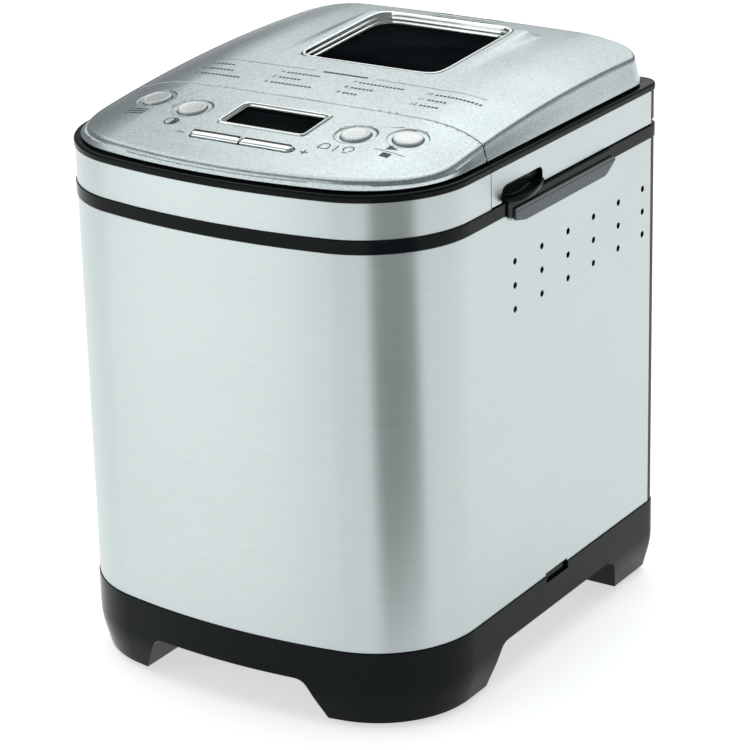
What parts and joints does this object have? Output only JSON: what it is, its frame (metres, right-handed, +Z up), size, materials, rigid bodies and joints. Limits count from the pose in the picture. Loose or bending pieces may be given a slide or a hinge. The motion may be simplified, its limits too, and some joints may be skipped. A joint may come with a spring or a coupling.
{
  "type": "bread machine",
  "caption": "Upright bread machine with a sloping control panel, a hinged window lid, a twist-lock bread pan with bail and paddle, and a belt drive.",
  "frame": {"origin": "on the ground under the middle of the case's bounding box", "axes": "+Z up, the control panel faces -Y, +X to the right seen from the front"},
  "size_m": [0.274, 0.296, 0.3527],
  "materials": {
    "brushed_steel": "horizontally brushed, satin",
    "cover_satin": "fine grained satin",
    "bright_trim": "polished",
    "black_gloss": "glossy moulded",
    "black_matte": "fine spark-eroded grain",
    "grip_plastic": "satin moulded",
    "rubber": "matte",
    "seal_rubber": "matte silicone",
    "window_glass": "dark tinted",
    "clear_glass": "clear",
    "lens_black": "polished",
    "button_silver": "pearl satin",
    "aluminium": "drawn sheet",
    "plated_steel": "zinc plated",
    "nonstick": "speckled non-stick coating",
    "element_sheath": "oxidised",
    "bronze": "sintered",
    "board_green": "solder mask",
    "cap_white": "moulded"
  },
  "bodies": {
    "case": {"base": "black_gloss", "bottom_cover": "plated_steel", "rubber_feet": "rubber", "case_screws": "plated_steel", "body_wrap": "brushed_steel", "rear_panel": "black_matte", "wrap_clips": "plated_steel", "rim_frame": "black_gloss", "grip_left": "grip_plastic", "grip_right": "grip_plastic", "chassis_plate": "plated_steel", "chamber_liner": "aluminium", "heating_element": "element_sheath", "element_clips": "plated_steel", "temp_sensor": "bronze", "pan_socket": "aluminium", "bearing_housing": "aluminium", "bearing_bushes": "bronze", "drive_belt": "rubber", "motor_can": "plated_steel", "motor_capacitor": "cap_white", "power_board": "board_green", "cord_gland": "black_matte", "panel_band": "brushed_steel", "panel_frame": "black_gloss", "panel_cover": "cover_satin", "lcd_bezel": "bright_trim", "lcd_lens": "lens_black", "lcd_module": "black_matte", "control_board": "board_green", "tact_switches": "black_matte", "hinge_brackets": "plated_steel", "hinge_pins": "plated_steel"},
    "lid": {"lid_band": "brushed_steel", "lid_frame": "black_gloss", "lid_cover": "cover_satin", "lid_tabs": "black_gloss", "window_frame": "bright_trim", "window_glass": "window_glass", "inner_glass": "clear_glass", "lid_inner_plate": "aluminium", "lid_seal": "seal_rubber", "hinge_leaves": "plated_steel"},
    "drive": {"drive_shaft": "plated_steel", "drive_dog": "plated_steel", "drive_pulley": "black_matte"},
    "motor_rotor": {"motor_shaft": "plated_steel", "motor_pulley": "black_matte"},
    "pan": {"bread_pan": "nonstick", "pan_base_ring": "aluminium"},
    "bail": {"bail_handle": "plated_steel"},
    "paddle": {"pan_shaft": "plated_steel", "kneading_paddle": "nonstick"},
    "button_program": {"button_program": "button_silver"},
    "button_crust": {"button_crust": "button_silver"},
    "button_size": {"button_size": "button_silver"},
    "button_start": {"button_start": "button_silver"},
    "bar_minus": {"bar_minus": "bright_trim"},
    "bar_plus": {"bar_plus": "bright_trim"}
  },
  "joints": [
    {"name": "lid_hinge", "type": "hinge", "parent": "case", "child": "lid", "pos_m": [0, 0.1435, 0.302], "axis": [-1, 0, 0], "range_deg": [0, 88]},
    {"name": "drive_spin", "type": "hinge", "parent": "case", "child": "drive", "pos_m": [0, 0.053, 0.06], "axis": [0, 0, 1], "continuous": true},
    {"name": "motor_spin", "type": "hinge", "parent": "case", "child": "motor_rotor", "pos_m": [0, -0.085, 0.06], "axis": [0, 0, 1], "continuous": true},
    {"name": "pan_twist", "type": "hinge", "parent": "case", "child": "pan", "pos_m": [0, 0.053, 0.1], "axis": [0, 0, 1], "range_deg": [0, 12]},
    {"name": "bail_swing", "type": "hinge", "parent": "pan", "child": "bail", "pos_m": [0, 0.053, 0.24], "axis": [-1, 0, 0], "range_deg": [0, 180]},
    {"name": "paddle_spin", "type": "hinge", "parent": "pan", "child": "paddle", "pos_m": [0, 0.053, 0.11], "axis": [0, 0, 1], "continuous": true},
    {"name": "button_program_press", "type": "slide", "parent": "case", "child": "button_program", "axis": [0, 0.1378, -0.9905], "range_m": [0, 0.0012], "stiffness_N_per_m": 400},
    {"name": "button_crust_press", "type": "slide", "parent": "case", "child": "button_crust", "axis": [0, 0.1378, -0.9905], "range_m": [0, 0.0012], "stiffness_N_per_m": 400},
    {"name": "button_size_press", "type": "slide", "parent": "case", "child": "button_size", "axis": [0, 0.1378, -0.9905], "range_m": [0, 0.0012], "stiffness_N_per_m": 400},
    {"name": "button_start_press", "type": "slide", "parent": "case", "child": "button_start", "axis": [0, 0.1378, -0.9905], "range_m": [0, 0.0012], "stiffness_N_per_m": 400},
    {"name": "bar_minus_press", "type": "slide", "parent": "case", "child": "bar_minus", "axis": [0, 0.1378, -0.9905], "range_m": [0, 0.0012], "stiffness_N_per_m": 400},
    {"name": "bar_plus_press", "type": "slide", "parent": "case", "child": "bar_plus", "axis": [0, 0.1378, -0.9905], "range_m": [0, 0.0012], "stiffness_N_per_m": 400}
  ],
  "couplings": [
    {"joint": "motor_spin", "follows": "drive_spin", "ratio": 4.3333},
    {"joint": "paddle_spin", "follows": "drive_spin", "ratio": 1}
  ]
}
